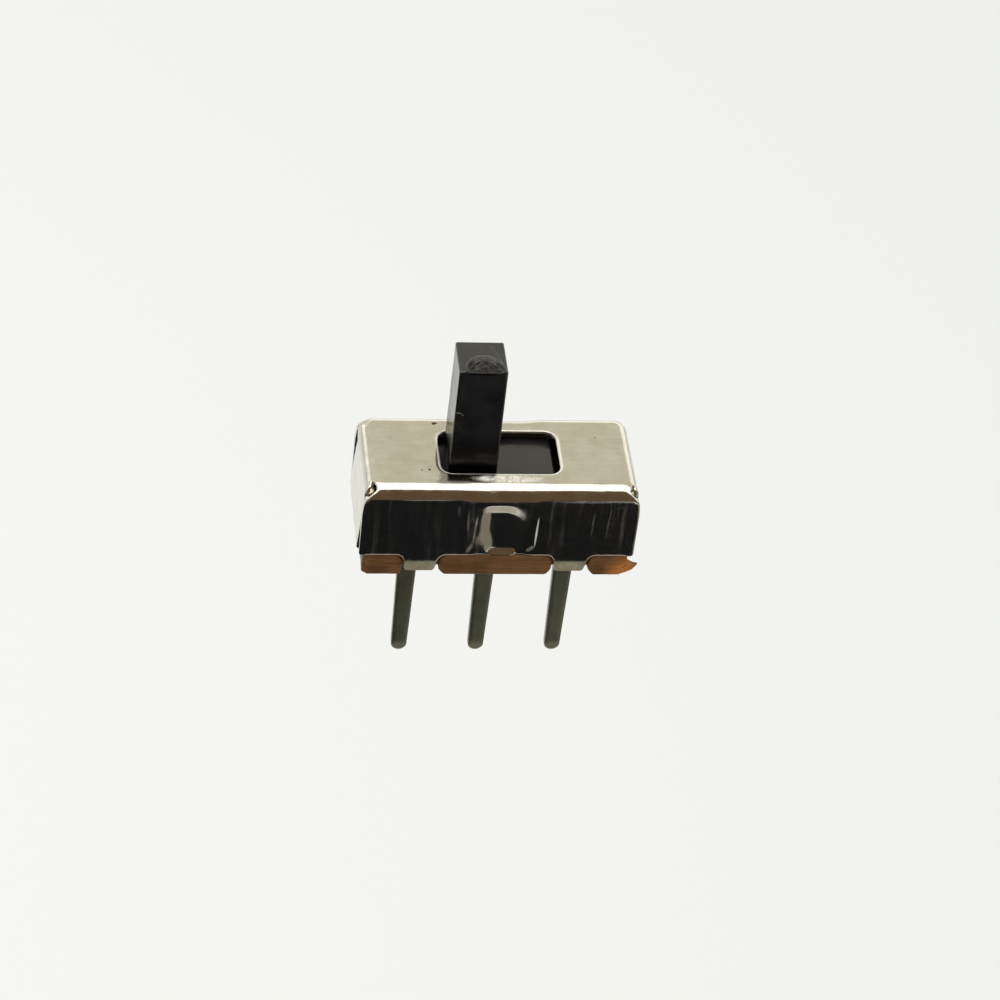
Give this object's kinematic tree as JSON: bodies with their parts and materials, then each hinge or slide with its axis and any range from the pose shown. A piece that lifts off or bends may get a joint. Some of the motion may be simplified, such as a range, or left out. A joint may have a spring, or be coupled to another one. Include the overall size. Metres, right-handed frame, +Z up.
{
  "type": "slide switch",
  "caption": "Miniature board-mounted slide switch: folded metal cover clawed onto a laminate base, black square handle in a window, flat pins in line.",
  "frame": {"origin": "middle of the base board's underside, the plane that lies on the circuit board", "axes": "+X along the handle's travel and the row of pins, +Y across the body, +Z up along the handle"},
  "size_m": [0.009, 0.0038, 0.0121],
  "materials": {
    "nickel_plated_sheet": "bright nickel plate with fine rolling marks",
    "paper_laminate": "brown paper laminate with rough punched edges",
    "black_moulding": "satin black moulding",
    "bronze_spring": "bare spring bronze",
    "tinned_pin": "dull tin plate"
  },
  "bodies": {
    "case": {"cover": "nickel_plated_sheet", "base_board": "paper_laminate", "terminal_left": "tinned_pin", "terminal_common": "tinned_pin", "terminal_right": "tinned_pin"},
    "slide": {"slider": "black_moulding", "contact_clip": "bronze_spring"}
  },
  "joints": [
    {"name": "handle_slide", "type": "slide", "parent": "case", "child": "slide", "axis": [1, 0, 0], "range_m": [0, 0.00175]}
  ]
}
